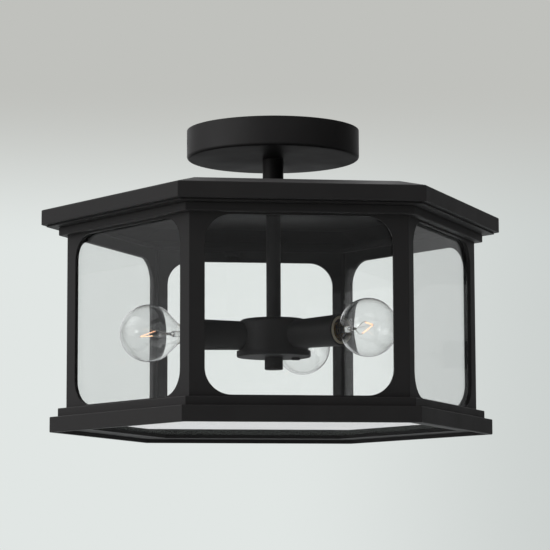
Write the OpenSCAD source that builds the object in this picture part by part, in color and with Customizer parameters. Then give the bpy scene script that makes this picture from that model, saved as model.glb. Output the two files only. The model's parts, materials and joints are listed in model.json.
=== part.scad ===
// Six-sided porch ceiling lantern: black metal cage, clear glass sides and
// bottom, and three small globe lamps on a central hub.
// Millimetres, +Z up. The origin is the middle of the canopy's rim, in the
// plane of the ceiling, and the lantern hangs below it. Cage corners lie on
// +X and -X, and a flat side faces -Y.

/* [Canopy and neck] */
// Outer diameter of the canopy on the ceiling
canopy_d = 152; // [132:1:180]
// Depth of the canopy
canopy_h = 25.4; // [22:0.2:40]
// Thickness of the canopy's sheet
canopy_t = 1.2; // [0.8:0.1:2]
// Radius of the canopy's lower edge
canopy_edge_r = 2.5; // [1.2:0.1:4]
// Outer diameter of the neck tube
neck_d = 18.4; // [15:0.2:24]
// Length of the neck tube between canopy and lid
neck_l = 41; // [25:1:120]
// Wall of the neck tube
neck_t = 1.5; // [1:0.1:2]

/* [Ceiling strap] */
// Width of the mounting strap
strap_w = 25.4; // [20:0.2:32]
// Thickness of the mounting strap
strap_t = 2; // [1.5:0.1:3]
// Length of the strap's two bent-down legs
strap_leg_h = 18; // [16:0.5:20]
// Level of the canopy's side screws below the ceiling
canopy_screw_drop = 12.5; // [9:0.5:13]
// Distance between the middles of the two ceiling-box slots
box_slot_gap = 79.4; // [76:0.1:82]
// End-to-end length of a ceiling-box slot
box_slot_l = 14; // [10:0.5:16]
// Width of a ceiling-box slot
box_slot_w = 4.5; // [4:0.1:5]

/* [Pipe and stem] */
// Outer diameter of the threaded pipe
pipe_d = 9.6; // [8:0.1:10]
// Bore of the threaded pipe
pipe_bore_d = 6.6; // [5:0.1:7]
// Clear height between the finial and the bottom glass
finial_gap = 46.1; // [42:0.1:90]
// Outer diameter of the stem tube inside the lantern
stem_d = 12.7; // [11.8:0.1:16]
// Size across the flats of the pipe nuts
nut_w = 14; // [12.5:0.1:16]
// Height of a pipe nut
nut_h = 4; // [3:0.1:5]
// Outer diameter of a pipe washer
washer_d = 17; // [15:0.1:22]
// Thickness of a pipe washer
washer_t = 1.5; // [1:0.1:2]

/* [Lid] */
// How far the lid's edge stands out past the cage
lid_overhang = 19.7; // [18:0.1:40]
// Width of the lid's sloping border
roof_border = 28.7; // [15:0.1:60]
// Rise of the lid's sloping border
roof_rise = 7.7; // [4:0.1:14]
// Height of the lid's upright edge
fascia_h = 13; // [8:0.1:20]
// Thickness of the lid's sheet
lid_t = 1.5; // [1:0.1:2]
// Rounding of the lid's outer edges
lid_edge_r = 1.2; // [0.6:0.1:2]

/* [Crown moulding] */
// How far the small step under the lid stands in from the lid's edge
lip_inset = 3.9; // [2.5:0.1:6]
// Depth of that step
lip_h = 1.6; // [1.4:0.1:2.5]
// How far the crown band stands out past the cage
crown_overhang = 6.5; // [4:0.1:9]
// Height of the crown band
crown_h = 7.4; // [5:0.1:12]
// Width of the fine shadow grooves above the lip and above the band
quirk_w = 0.7; // [0.5:0.1:1]
// Rounding of moulding edges
edge_r = 0.8; // [0.4:0.1:1.2]

/* [Cage] */
// Width of the cage across its corners
cage_w = 361; // [355:0.2:366]
// Thickness of a side frame
frame_t = 3.2; // [2.5:0.1:4]
// Width of a post's face on each side of its corner
stile_w = 12.7; // [9:0.1:18]
// Height of a window opening
window_h = 147; // [140:1:220]
// Radius of a window's rounded corners
window_r = 22; // [12:0.5:30]
// Height of rail left showing above and below a window
rail_show = 1.5; // [0.8:0.1:4]

/* [Glass] */
// Thickness of the side panes
pane_t = 3; // [2:0.1:4]
// Gap between the edge of a side pane and the corner it points at
pane_corner_gap = 1.5; // [0.5:0.1:6]
// Thickness of the bottom glass
bottom_glass_t = 3; // [2:0.1:4]
// Gap between the bottom glass and the slab round it
bottom_glass_gap = 1.9; // [1:0.1:4]
// How far the bottom glass laps over the ledge
ledge_lap = 5; // [3:0.1:12]

/* [Base moulding] */
// How far the upper base band stands out past the cage
base_band_overhang = 6.3; // [4:0.1:9]
// Height of the upper base band
base_band_h = 7.5; // [5:0.1:12]
// How far the base slab stands out past the cage
slab_overhang = 12.4; // [8:0.1:18]
// Height of the base slab
slab_h = 13.4; // [12.6:0.1:18]
// Depth of the recess in the slab's underside
slab_recess_h = 3.3; // [2:0.1:4]
// Thickness of the slab's outer wall
slab_wall_t = 4; // [3:0.1:6]
// Thickness of the ledge that carries the bottom glass
ledge_t = 3.2; // [2.5:0.1:3.6]

/* [Hub] */
// Diameter of the hub
hub_d = 60.5; // [56:0.5:66]
// Height of hub above the lamp arms
hub_headroom = 2.2; // [1.2:0.1:6]
// Thickness of the hub's wall
hub_t = 1.2; // [0.8:0.1:2]
// Radius of the hub's shoulder
hub_shoulder_r = 4; // [2:0.1:6]
// How far the plate that closes the hub stands out past it
hub_plate_overhang = 2.15; // [0:0.05:5]
// Thickness of that plate
hub_plate_h = 5.2; // [3:0.1:8]
// Diameter of the finial nut
finial_d = 16; // [14:0.1:20]
// Height of the finial nut
finial_h = 11; // [9:0.1:14]

/* [Lamps] */
// Turn of the lamp cluster from the cage's corners, in degrees
cluster_turn = 8.3; // [0:0.1:30]
// How much an arm's radius grows towards its mouth
arm_flare = 1.2; // [0:0.1:2.5]
// Wall of a lamp arm
arm_t = 1.5; // [0.8:0.1:2.5]
// Thickness of the insulating sleeve at the arm's narrow end
sleeve_t = 0.65; // [0.4:0.05:2]
// Wall of a lamp socket
socket_wall_t = 3.3; // [2:0.1:5]
// Diameter of a lamp's globe
globe_d = 50; // [46:0.5:52]
// Gap between an arm's mouth and the globe itself
globe_stand = 6.3; // [3.5:0.1:8]
// Gap between a globe and the side glass in front of it
globe_gap = 13.8; // [5:0.1:30]
// Thickness of the globe's glass
globe_t = 0.8; // [0.6:0.1:1.2]
// Diameter of a lamp's metal screw base
base_d = 11.9; // [11.4:0.1:14]
// Length of a lamp's metal screw base
base_l = 16; // [14:0.5:17]

/* [Hidden] */

$fn = 64;
eps = 0.01;

// Clearances
slip = 0.3;         // between pieces that lie side by side
thread_slip = 0.05; // round a screw or pipe in its hole

// A six-sided shape: half its width across the flats is this share of half
// its width across the corners.
flat_share = cos(30);
function corner_of(flat_r) = flat_r / flat_share;

// Half widths across the flats, from the cage's outer face inwards
cage_r = cage_w / 2;
cage_out = cage_r * flat_share;
cage_in = cage_out - frame_t;
pane_out = cage_in - slip;
pane_in = pane_out - pane_t;
keeper_t = 1.6;            // lip that keeps the panes from falling inwards
keeper_h = 2;
keeper_out = pane_in - slip;
keeper_in = keeper_out - keeper_t;
pane_w = 2 * (pane_in * tan(30) - pane_corner_gap);

// Half widths across the corners
lid_r = corner_of(cage_out + lid_overhang);
roof_flat_r = corner_of(cage_out + lid_overhang - roof_border);
lip_r = corner_of(cage_out + lid_overhang - lip_inset);
crown_r = corner_of(cage_out + crown_overhang);
base_band_r = corner_of(cage_out + base_band_overhang);
slab_r = corner_of(cage_out + slab_overhang);

// Levels, from the ceiling down
canopy_z = -canopy_h;
roof_z = canopy_z - neck_l;
eave_z = roof_z - roof_rise;
fascia_z = eave_z - fascia_h;
lip_z = fascia_z - lip_h;
crown_z = lip_z - crown_h;
window_top_z = crown_z - rail_show;
window_bottom_z = window_top_z - window_h;
base_band_z = window_bottom_z - rail_show;
slab_top_z = base_band_z - base_band_h;
slab_bottom_z = slab_top_z - slab_h;

// The crown ring's plate lies on the top rail, just inside the lid's edge.
crown_plate_t = 1.5;
rail_top_z = fascia_z + 1.1;
crown_plate_z = rail_top_z + crown_plate_t;

// The ledge closes the slab's recess, and the bottom glass lies on it.
ledge_bottom_z = slab_bottom_z + slab_recess_h;
ledge_top_z = ledge_bottom_z + ledge_t;
bottom_glass_r = keeper_in - bottom_glass_gap;
ledge_open_r = bottom_glass_r - ledge_lap;
slab_wall_in = slab_r * flat_share - slab_wall_t;
ledge_screw_d = 3;
ledge_screw_head_d = 5.6;
ledge_screw_l = slab_h - slab_recess_h - 2.1;
ledge_screw_r = (slab_wall_in + keeper_in) / 2 + 1;

// From a lamp's screw base outwards: socket shell, socket, sleeve and arm
lamp_slip = 0.3;
shell_t = 0.4;
sleeve_slip = 0.2;
shell_in_r = base_d / 2 + lamp_slip;
shell_out_r = shell_in_r + shell_t;
socket_in_r = shell_out_r + thread_slip;
socket_r = socket_in_r + socket_wall_t;
sleeve_in_r = socket_r + slip / 2;
arm_d = 2 * (sleeve_in_r + sleeve_t + sleeve_slip + arm_t);
arm_mouth_d = arm_d + 2 * arm_flare;

// Stem, hub and finial
roof_under_z = roof_z - lid_t;
stem_top_z = roof_under_z - washer_t - nut_h;
arm_floor = 0.6;                          // hub height left under the lamp arms
hub_h = arm_d + arm_floor + hub_headroom;
finial_z = ledge_top_z + bottom_glass_t + finial_gap;
hub_plate_z = finial_z + finial_h;
hub_bottom_z = hub_plate_z + hub_plate_h;
hub_top_z = hub_bottom_z + hub_h;
hub_r = hub_d / 2;
hub_in_r = hub_r - hub_t;
hub_plate_r = hub_r + hub_plate_overhang;
hub_screw_d = 3;
hub_screw_inset = 9;
hub_screw_r = hub_in_r - hub_screw_inset;
hub_bar_t = 1.6;
hub_bar_w = 10;
hub_bar_end = 5;                          // bar beyond its screw
pipe_top_z = canopy_z + canopy_t + washer_t + nut_h + 4;
finial_bore_h = finial_h - 3;
pipe_bottom_z = hub_plate_z - finial_bore_h + 0.5;
pipe_hole_r = pipe_d / 2 + thread_slip;

// Screws of the strap and canopy
screw_d = 4.1;
screw_head_d = 7;
screw_chamfer = 0.5;
screw_tail = 5;                           // screw beyond the strap's leg
ground_x = 22;
ground_y = 6.5;
ground_d = 4.6;
slot_end_r = box_slot_w / 2;
// The corners of the strap's legs stay clear of the canopy's round wall.
strap_half_l = sqrt(pow(canopy_d / 2 - canopy_t, 2) - pow(strap_w / 2, 2)) - slip;

// Lamp arms, sockets and lamps lie along +X before they are turned.
globe_r = globe_d / 2;
globe_reach = pane_in - globe_gap - globe_r;
arm_reach = globe_reach - globe_r - globe_stand;
arm_z = hub_bottom_z + arm_floor + arm_d / 2;
arm_start = hub_in_r - 3;                  // inner end, inside the hub
sleeve_l = 28;
sleeve_tip = arm_reach + 0.6;
socket_tip = arm_reach - 4;
shell_tip = socket_tip + 0.4;
base_tip = arm_reach - 3;                  // where glass meets the screw base
contact_l = 4;
contact_r = 2.4;
insulator_r = 5;
base_wall_t = 0.5;
base_floor_t = 1.5;
base_end = base_tip - base_l;
contact_end = base_end - contact_l;
socket_contact_t = 0.6;
socket_floor = contact_end - lamp_slip - socket_contact_t;
socket_floor_t = 4;
seat_inset = 0.7;                          // glass seat inside the screw base
seat_l = 3;
neck_swell = 2.45;                         // glass neck beyond the screw base
neck_glass_r = base_d / 2 + neck_swell;
neck_glass_x = arm_reach + globe_stand - 0.5;
filament_inset = 13;                       // glass stem's end, short of the globe's middle
filament_stand = 3.5;                      // filament, short of the globe's middle
filament_l = 4.6;
filament_r = 0.35;
lead_gap = 2.6;
lead_r = 0.25;
glass_stem_foot_r = 3.6;
glass_stem_waist_r = 2.8;
glass_stem_tip_r = 1.9;

// Colours
paint = [0.13, 0.13, 0.135];
zinc = [0.72, 0.73, 0.75];
brass = [0.78, 0.62, 0.30];
clear = [0.85, 0.92, 0.92, 0.3];
cream = [0.80, 0.72, 0.58];
phenolic = [0.23, 0.15, 0.10];

// A six-sided ring between two half widths across the flats
module hex_ring(out_r, in_r, low_z, high_z) {
    difference() {
        translate([0, 0, low_z])
            cylinder(r = corner_of(out_r), h = high_z - low_z, $fn = 6);
        translate([0, 0, low_z - 1])
            cylinder(r = corner_of(in_r), h = high_z - low_z + 2, $fn = 6);
    }
}

// A six-sided moulding: its outline is drawn at a corner of the hexagon.
module hex_moulding(outline) {
    rotate_extrude($fn = 6) polygon(outline);
}

// Points of an arc about a centre, for outlines
function arc(centre, r, from, to, steps = 5) = [
    for (i = [0:steps])
        centre + r * [cos(from + (to - from) * i / steps), sin(from + (to - from) * i / steps)]
];

// A tube or washer with its lower end at low_z
module tube(out_r, in_r, low_z, high_z) {
    difference() {
        translate([0, 0, low_z]) cylinder(r = out_r, h = high_z - low_z);
        translate([0, 0, low_z - 1]) cylinder(r = in_r, h = high_z - low_z + 2);
    }
}

// Turns a piece that lies along +X to lamp number i, and lowers it to the arms.
module at_lamp(i) {
    rotate([0, 0, 60 + cluster_turn + 120 * (i - 1)]) translate([0, 0, arm_z]) children();
}

// A body of revolution about +X. Its outline is drawn with the radius along
// x and the distance from the lantern's axis along y.
module turned() {
    rotate([0, 90, 0]) rotate_extrude() children();
}

// The same from a list of [distance, radius] points
module turned_outline(points) {
    turned() polygon([for (p = points) [p[1], p[0]]]);
}

// ---------------------------------------------------------------- ceiling

// Turns a piece that lies along +X to each end of the strap, at the screws' level.
module at_strap_ends() {
    for (turn = [0, 180]) rotate([0, 0, turn]) translate([strap_half_l, 0, -canopy_screw_drop]) children();
}

// A flat bar under the ceiling, with both ends bent down beside the canopy's wall
module mounting_strap() {
    color(zinc) difference() {
        translate([-strap_half_l, -strap_w / 2, -strap_leg_h]) cube([2 * strap_half_l, strap_w, strap_leg_h]);
        translate([-strap_half_l + strap_t, -strap_w / 2 - 1, -strap_leg_h - 1])
            cube([2 * (strap_half_l - strap_t), strap_w + 2, strap_leg_h - strap_t + 1]);
        at_strap_ends() translate([-strap_t - 1, 0, 0]) rotate([0, 90, 0])
            cylinder(d = screw_d + 2 * thread_slip, h = strap_t + 2);
        for (side = [-1, 1]) {
            for (end = [-1, 1])
                translate([side * box_slot_gap / 2 + end * (box_slot_l / 2 - slot_end_r), 0, -strap_t - 1])
                    cylinder(r = slot_end_r, h = strap_t + 2);
            translate([side * box_slot_gap / 2 - box_slot_l / 2 + slot_end_r, -slot_end_r, -strap_t - 1])
                cube([box_slot_l - box_slot_w, box_slot_w, strap_t + 2]);
        }
        translate([ground_x, ground_y, -strap_t - 1])
            cylinder(d = ground_d + 2 * thread_slip, h = strap_t + 2);
    }
}

module ground_screw() {
    head_d = 8.5;
    head_h = 2.4;
    color([0.10, 0.42, 0.18]) difference() {
        union() {
            translate([ground_x, ground_y, -strap_t - head_h]) cylinder(d = head_d, h = head_h);
            translate([ground_x, ground_y, -strap_t - head_h]) cylinder(d = ground_d, h = strap_t + head_h - 0.2);
        }
        translate([ground_x - head_d / 2 - 1, ground_y - 0.6, -strap_t - head_h - 1]) cube([head_d + 2, 1.2, 2]);
    }
}

module canopy() {
    out_r = canopy_d / 2;
    in_edge_r = canopy_edge_r - canopy_t + 0.2;
    color(paint) difference() {
        rotate_extrude($fn = 128) difference() {
            union() {
                translate([0, canopy_z]) square([out_r - canopy_edge_r, canopy_h]);
                translate([0, canopy_z + canopy_edge_r]) square([out_r, canopy_h - canopy_edge_r]);
                translate([out_r - canopy_edge_r, canopy_z + canopy_edge_r]) circle(r = canopy_edge_r);
            }
            translate([-1, canopy_z + canopy_t])
                square([out_r - canopy_t - in_edge_r + 1, canopy_h]);
            translate([0, canopy_z + canopy_t + in_edge_r])
                square([out_r - canopy_t, canopy_h]);
            translate([out_r - canopy_t - in_edge_r, canopy_z + canopy_t + in_edge_r])
                circle(r = in_edge_r);
            translate([-out_r, canopy_z - 1]) square([out_r, canopy_h + 2]);
        }
        translate([0, 0, canopy_z - 1]) cylinder(r = pipe_hole_r, h = canopy_t + 2);
        at_strap_ends() translate([0.5, 0, 0]) rotate([0, 90, 0])
            cylinder(d = screw_head_d + 2 * thread_slip, h = canopy_d / 2);
    }
}

// Each head bears on a leg of the strap and fills a hole in the canopy's wall,
// flush with the outside, so the canopy hangs on the two heads.
module canopy_screws() {
    head_h = canopy_d / 2 - 0.1 - strap_half_l;
    slot_w = 1;
    color(paint) at_strap_ends() rotate([0, 90, 0]) difference() {
        union() {
            cylinder(d = screw_head_d, h = head_h - screw_chamfer);
            translate([0, 0, head_h - screw_chamfer])
                cylinder(d1 = screw_head_d, d2 = screw_head_d - 2 * screw_chamfer, h = screw_chamfer);
            translate([0, 0, -strap_t - screw_tail]) cylinder(d = screw_d, h = strap_t + screw_tail + 1);
        }
        translate([-slot_w / 2, -screw_head_d, head_h - 1]) cube([slot_w, 2 * screw_head_d, 2]);
    }
}

// ------------------------------------------------------------ pipe and stem

module threaded_pipe() {
    slot_w = 5;
    slot_h = 12;
    color(zinc) difference() {
        tube(pipe_d / 2, pipe_bore_d / 2, pipe_bottom_z, pipe_top_z);
        translate([-slot_w / 2, -pipe_d, hub_bottom_z + 4]) cube([slot_w, 2 * pipe_d, slot_h]);
    }
}

// Hex nuts above the canopy's pan, under the lid and inside the hub
nut_levels = [canopy_z + canopy_t + washer_t, stem_top_z, hub_top_z - hub_t - washer_t - nut_h];
// The washer between each nut and the sheet that it clamps
washer_levels = [canopy_z + canopy_t, roof_under_z - washer_t, hub_top_z - hub_t - washer_t];

module pipe_nuts() {
    color(zinc) for (z = nut_levels) difference() {
        translate([0, 0, z]) cylinder(r = corner_of(nut_w / 2), h = nut_h, $fn = 6);
        translate([0, 0, z - 1]) cylinder(r = pipe_hole_r, h = nut_h + 2);
    }
}

module pipe_washers() {
    color(zinc) for (z = washer_levels) tube(washer_d / 2, pipe_hole_r, z, z + washer_t);
}

module neck_tube() {
    color(paint) tube(neck_d / 2, neck_d / 2 - neck_t, roof_z, canopy_z);
}

module stem_tube() {
    color(paint) tube(stem_d / 2, pipe_d / 2 + 0.25, hub_top_z, stem_top_z);
}

// ---------------------------------------------------------------------- lid

module lid() {
    in_r = lid_r - corner_of(lid_t);
    slope = atan(roof_rise / (lid_r - roof_flat_r));
    color(paint) difference() {
        hex_moulding(concat(
            [[0, roof_z], [roof_flat_r, roof_z]],
            arc([lid_r - lid_edge_r, eave_z - lid_edge_r * 0.7], lid_edge_r, 90 - slope, 0),
            arc([lid_r - lid_edge_r / 2, fascia_z + lid_edge_r / 2], lid_edge_r / 2, 0, -90, 3),
            [[in_r, fascia_z], [in_r, eave_z - lid_t], [roof_flat_r, roof_under_z], [0, roof_under_z]]
        ));
        translate([0, 0, roof_under_z - 1]) cylinder(r = pipe_hole_r, h = lid_t + 2);
    }
}

module crown_ring() {
    groove_r = lip_r - 1.2 * quirk_w;
    band_groove_r = crown_r - quirk_w;
    color(paint) hex_moulding(concat(
        [[corner_of(keeper_in), crown_plate_z]],
        [[lid_r - corner_of(lid_t + slip), crown_plate_z], [lid_r - corner_of(lid_t + slip), fascia_z]],
        [[groove_r, fascia_z], [groove_r, fascia_z - quirk_w], [lip_r, fascia_z - quirk_w], [lip_r, lip_z]],
        [[band_groove_r, lip_z], [band_groove_r, lip_z - quirk_w], [crown_r, lip_z - quirk_w]],
        arc([crown_r - edge_r, crown_z + edge_r], edge_r, 0, -90, 4),
        [[cage_r + corner_of(slip), crown_z], [cage_r + corner_of(slip), rail_top_z]],
        [[corner_of(keeper_out), rail_top_z], [corner_of(keeper_out), rail_top_z - keeper_h]],
        [[corner_of(keeper_in), rail_top_z - keeper_h]]
    ));
}

// --------------------------------------------------------------------- cage

// Turns a piece that lies on the +X side to side number i of the hexagon.
module at_side(i) {
    rotate([0, 0, 30 + 60 * (i - 1)]) children();
}

// One side of the cage: a plate with a rounded window, mitred at the corners
module side_frame(i) {
    half_w = cage_r / 2 - stile_w;
    out_half = corner_of(cage_out) / 2;
    in_half = corner_of(cage_in) / 2;
    color(paint) at_side(i) difference() {
        translate([0, 0, slab_top_z]) linear_extrude(height = rail_top_z - slab_top_z)
            polygon([[cage_in, -in_half], [cage_out, -out_half], [cage_out, out_half], [cage_in, in_half]]);
        translate([cage_in - 1, 0, window_bottom_z]) rotate([90, 0, 90]) linear_extrude(height = frame_t + 2) {
            translate([-half_w, window_r]) square([2 * half_w, window_h - 2 * window_r]);
            translate([-half_w + window_r, 0]) square([2 * (half_w - window_r), window_h]);
            for (side = [-1, 1])
                for (level = [window_r, window_h - window_r])
                    translate([side * (half_w - window_r), level]) circle(r = window_r);
        }
    }
}

module side_pane(i) {
    bottom_z = slab_top_z + 0.2;
    color(clear) at_side(i) translate([pane_in, -pane_w / 2, bottom_z])
        cube([pane_t, pane_w, rail_top_z - slip - bottom_z]);
}

// --------------------------------------------------------------------- base

module base_band() {
    color(paint) hex_moulding(concat(
        [[cage_r + corner_of(slip), slab_top_z], [base_band_r, slab_top_z]],
        arc([base_band_r - edge_r, base_band_z - edge_r], edge_r, 0, 90, 4),
        [[cage_r + corner_of(slip), base_band_z]]
    ));
}

module base_slab() {
    wall_r = corner_of(slab_wall_in);
    inner_r = corner_of(keeper_in);
    color(paint) difference() {
        hex_moulding(concat(
            [[inner_r, ledge_top_z]],
            [[wall_r, ledge_top_z], [wall_r, slab_bottom_z]],
            arc([slab_r - edge_r, slab_bottom_z + edge_r], edge_r, -90, 0, 4),
            arc([slab_r - edge_r, slab_top_z - edge_r], edge_r, 0, 90, 4),
            [[corner_of(keeper_out), slab_top_z], [corner_of(keeper_out), slab_top_z + keeper_h]],
            [[inner_r, slab_top_z + keeper_h]]
        ));
        ledge_screw_places() cylinder(d = ledge_screw_d + 2 * thread_slip, h = ledge_screw_l);
    }
}

// One screw in the middle of each side, with its shank pointing up
module ledge_screw_places() {
    for (i = [0:5]) rotate([0, 0, 30 + 60 * i]) translate([ledge_screw_r, 0, ledge_bottom_z]) children();
}

module glass_ledge() {
    color(paint) difference() {
        hex_ring(slab_wall_in - slip, ledge_open_r, ledge_bottom_z, ledge_top_z);
        ledge_screw_places() {
            translate([0, 0, -1]) cylinder(d = ledge_screw_d + 2 * thread_slip, h = ledge_t + 2);
            translate([0, 0, -eps])
                cylinder(d1 = ledge_screw_head_d + 0.2, d2 = ledge_screw_d + 2 * thread_slip, h = 1.6);
        }
    }
}

module ledge_screws() {
    color(paint) ledge_screw_places() {
        cylinder(d1 = ledge_screw_head_d, d2 = ledge_screw_d, h = 1.5, $fn = 32);
        cylinder(d = ledge_screw_d, h = ledge_screw_l - 0.3, $fn = 32);
    }
}

module bottom_glass() {
    color(clear) translate([0, 0, ledge_top_z])
        cylinder(r = corner_of(bottom_glass_r), h = bottom_glass_t, $fn = 6);
}

// ---------------------------------------------------------------------- hub

module hub_body() {
    out_r = hub_r;
    in_r = hub_in_r;
    in_shoulder_r = hub_shoulder_r - hub_t + 0.2;
    color(paint) difference() {
        rotate_extrude($fn = 96) difference() {
            union() {
                translate([0, hub_bottom_z]) square([out_r, hub_h - hub_shoulder_r]);
                translate([0, hub_bottom_z]) square([out_r - hub_shoulder_r, hub_h]);
                translate([out_r - hub_shoulder_r, hub_top_z - hub_shoulder_r]) circle(r = hub_shoulder_r);
            }
            translate([-1, hub_bottom_z - 1]) square([in_r + 1, hub_h - hub_t - in_shoulder_r + 1]);
            translate([-1, hub_bottom_z - 1]) square([in_r - in_shoulder_r + 1, hub_h - hub_t + 1]);
            translate([in_r - in_shoulder_r, hub_top_z - hub_t - in_shoulder_r]) circle(r = in_shoulder_r);
            translate([-out_r, hub_bottom_z - 1]) square([out_r, hub_h + 2]);
        }
        translate([0, 0, hub_top_z - hub_t - 1]) cylinder(r = pipe_hole_r, h = hub_t + 2);
        for (i = [1:3]) at_lamp(i)
            translate([arm_start, 0, 0]) rotate([0, 90, 0]) cylinder(r = arm_at(out_r) + 0.1, h = out_r);
    }
}

module hub_plate() {
    edge = 1;
    color(paint) difference() {
        rotate_extrude($fn = 96) difference() {
            union() {
                translate([0, hub_plate_z + edge]) square([hub_plate_r, hub_plate_h - edge]);
                translate([0, hub_plate_z]) square([hub_plate_r - edge, hub_plate_h]);
                translate([hub_plate_r - edge, hub_plate_z + edge]) circle(r = edge, $fn = 24);
            }
            translate([-hub_plate_r, hub_plate_z - 1]) square([hub_plate_r, hub_plate_h + 2]);
        }
        translate([0, 0, hub_plate_z - 1]) cylinder(r = pipe_hole_r, h = hub_plate_h + 2);
        at_hub_screw() translate([0, 0, -1])
            cylinder(d = hub_screw_d + 2 * thread_slip, h = hub_plate_h + 2);
    }
}

// The one screw in the hub's plate, between two arms
module at_hub_screw() {
    rotate([0, 0, cluster_turn]) translate([hub_screw_r, 0, hub_plate_z]) children();
}

// The bar inside the hub that this screw pulls on
module hub_bar() {
    color(zinc) difference() {
        rotate([0, 0, cluster_turn]) translate([-hub_bar_w, -hub_bar_w / 2, hub_bottom_z])
            cube([hub_bar_w + hub_screw_r + hub_bar_end, hub_bar_w, hub_bar_t]);
        translate([0, 0, hub_bottom_z - 1]) cylinder(r = pipe_hole_r, h = hub_bar_t + 2);
        at_hub_screw() cylinder(d = hub_screw_d + 2 * thread_slip, h = hub_plate_h + hub_bar_t + 1);
    }
}

module hub_screw() {
    head_d = 7.6;
    head_h = 2;
    shank_l = hub_plate_h + hub_bar_t + 1;
    color(paint) at_hub_screw() difference() {
        union() {
            translate([0, 0, -head_h]) cylinder(d = head_d, h = head_h);
            translate([0, 0, -head_h]) cylinder(d = hub_screw_d, h = head_h + shank_l);
        }
        translate([-0.5, -head_d / 2 - 1, -head_h - 1]) cube([1, head_d + 2, 1.8]);
    }
}

module finial() {
    edge = 0.8;
    color(paint) difference() {
        rotate_extrude($fn = 64) difference() {
            union() {
                translate([0, finial_z + edge]) square([finial_d / 2, finial_h - edge]);
                translate([0, finial_z]) square([finial_d / 2 - edge, finial_h]);
                translate([finial_d / 2 - edge, finial_z + edge]) circle(r = edge, $fn = 24);
            }
            translate([-finial_d, finial_z - 1]) square([finial_d, finial_h + 2]);
        }
        translate([0, 0, hub_plate_z - finial_bore_h]) cylinder(r = pipe_hole_r, h = finial_bore_h + 1);
    }
}

// -------------------------------------------------------------------- lamps

// Outer radius of an arm at a distance from the lantern's axis
function arm_at(x) =
    arm_d / 2 + (arm_mouth_d - arm_d) / 2 * max(0, (x - arm_start)) / (arm_reach - arm_start);

module lamp_arm(i) {
    color(paint) at_lamp(i) turned_outline([
        [arm_start, arm_at(arm_start) - arm_t], [arm_start, arm_at(arm_start)],
        [arm_reach - 0.4, arm_at(arm_reach)], [arm_reach, arm_at(arm_reach) - 0.4],
        [arm_reach, arm_at(arm_reach) - arm_t]
    ]);
}

module socket_sleeve(i) {
    start = sleeve_tip - sleeve_l;
    color(cream) at_lamp(i) turned_outline([
        [start, sleeve_in_r], [start, arm_at(start) - arm_t - sleeve_slip],
        [sleeve_tip, arm_at(sleeve_tip) - arm_t - sleeve_slip], [sleeve_tip, sleeve_in_r]
    ]);
}

module socket_body(i) {
    start = socket_floor - socket_floor_t;
    color(phenolic) at_lamp(i) turned_outline([
        [start, 0], [start, socket_r], [socket_tip, socket_r], [socket_tip, socket_in_r],
        [socket_floor, socket_in_r], [socket_floor, 0]
    ]);
}

module socket_shell(i) {
    color(brass) at_lamp(i) turned_outline([
        [base_end, shell_in_r], [base_end, shell_out_r],
        [shell_tip, shell_out_r], [shell_tip, shell_in_r]
    ]);
}

module socket_contact(i) {
    color(brass) at_lamp(i) turned_outline([
        [socket_floor, 0], [socket_floor, contact_r + 0.6], [socket_floor + socket_contact_t, contact_r + 0.6],
        [socket_floor + socket_contact_t, 0]
    ]);
}

// A lamp's clear glass: ball, short neck and a seat in the screw base
module globe(i) {
    seat_r = base_d / 2 - seat_inset;
    seat_start = base_tip - seat_l;
    ball_x = globe_reach - 0.9 * globe_r;      // where the neck runs into the ball
    color(clear) at_lamp(i) turned() difference() {
        union() {
            translate([0, globe_reach]) circle(r = globe_r);
            polygon([
                [0, seat_start], [seat_r, seat_start], [seat_r, base_tip],
                [neck_glass_r - 1.2, neck_glass_x - 3.5], [neck_glass_r - 0.2, neck_glass_x - 1.5],
                [neck_glass_r, neck_glass_x], [neck_glass_r + 1.8, ball_x], [0, ball_x]
            ]);
        }
        translate([0, globe_reach]) circle(r = globe_r - globe_t);
        polygon([
            [-1, seat_start - 1], [seat_r - globe_t, seat_start - 1], [seat_r - globe_t, base_tip + 0.3],
            [neck_glass_r - 1.2 - globe_t, neck_glass_x - 3.1], [neck_glass_r - 0.2 - globe_t, neck_glass_x - 1.2],
            [neck_glass_r - globe_t, neck_glass_x + 0.2], [neck_glass_r + 1, ball_x + 1], [-1, ball_x + 1]
        ]);
        translate([-2 * globe_r, 0]) square([2 * globe_r, globe_reach + 2 * globe_r]);
    }
}

// Screw base: metal thimble, black insulator and centre contact
module lamp_base(i) {
    out_r = base_d / 2;
    color(brass) at_lamp(i) turned_outline([
        [contact_end, 0], [contact_end, contact_r - 0.8], [contact_end + 1, contact_r],
        [base_end - 1, (contact_r + insulator_r) / 2], [base_end, insulator_r],
        [base_end, out_r], [base_tip, out_r], [base_tip, out_r - base_wall_t],
        [base_end + base_floor_t, out_r - base_wall_t], [base_end + base_floor_t, 0]
    ]);
}

// Glass stem, two lead wires and the filament
module filament(i) {
    stem_start = base_end + base_floor_t + thread_slip;
    stem_end = globe_reach - filament_inset;
    filament_x = globe_reach - filament_stand;
    color([0.8, 0.75, 0.7]) at_lamp(i) {
        turned_outline([
            [stem_start, 0], [stem_start, glass_stem_foot_r], [base_tip, glass_stem_foot_r],
            [base_tip + 1, glass_stem_waist_r], [stem_end, glass_stem_tip_r], [stem_end, 0]
        ]);
        for (side = [-1, 1])
            translate([stem_end - 1, side * lead_gap / 2, 0]) rotate([0, 90, 0])
                cylinder(r = lead_r, h = filament_x + 1.5 - stem_end, $fn = 16);
        translate([filament_x, 0, 0]) rotate([90, 0, 0])
            cylinder(r = filament_r, h = filament_l, center = true, $fn = 16);
    }
}

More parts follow.
